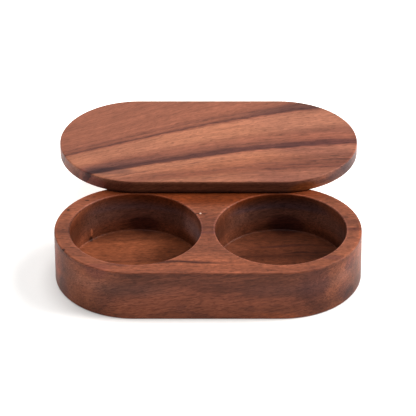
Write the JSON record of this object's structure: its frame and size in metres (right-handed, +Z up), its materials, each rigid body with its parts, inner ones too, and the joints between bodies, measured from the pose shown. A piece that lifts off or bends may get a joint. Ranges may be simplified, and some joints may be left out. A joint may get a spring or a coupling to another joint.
{
  "type": "wooden spice box",
  "caption": "Solid wooden block with half-round ends and round wells, under a flat matching lid that swings level about a pin in its rear wall.",
  "frame": {"origin": "centre of the block's flat underside, midway between its round ends and between its front and rear sides", "axes": "+X along the block, +Y to the rear where the pivot and the opened lid are, +Z up out of the wells"},
  "size_m": [0.18, 0.181, 0.0405],
  "materials": {
    "block_wood": "oiled, satin",
    "lid_wood": "oiled, satin",
    "pin_steel": "ground",
    "washer_fibre": "pressed fibre, matt"
  },
  "bodies": {
    "box": {"box_body": "block_wood", "pivot_pin": "pin_steel", "pivot_washer": "washer_fibre"},
    "lid": {"lid": "lid_wood"}
  },
  "joints": [
    {"name": "lid_swing", "type": "hinge", "parent": "box", "child": "lid", "pos_m": [0, 0.043, 0.032], "axis": [0, 0, 1], "continuous": true}
  ]
}
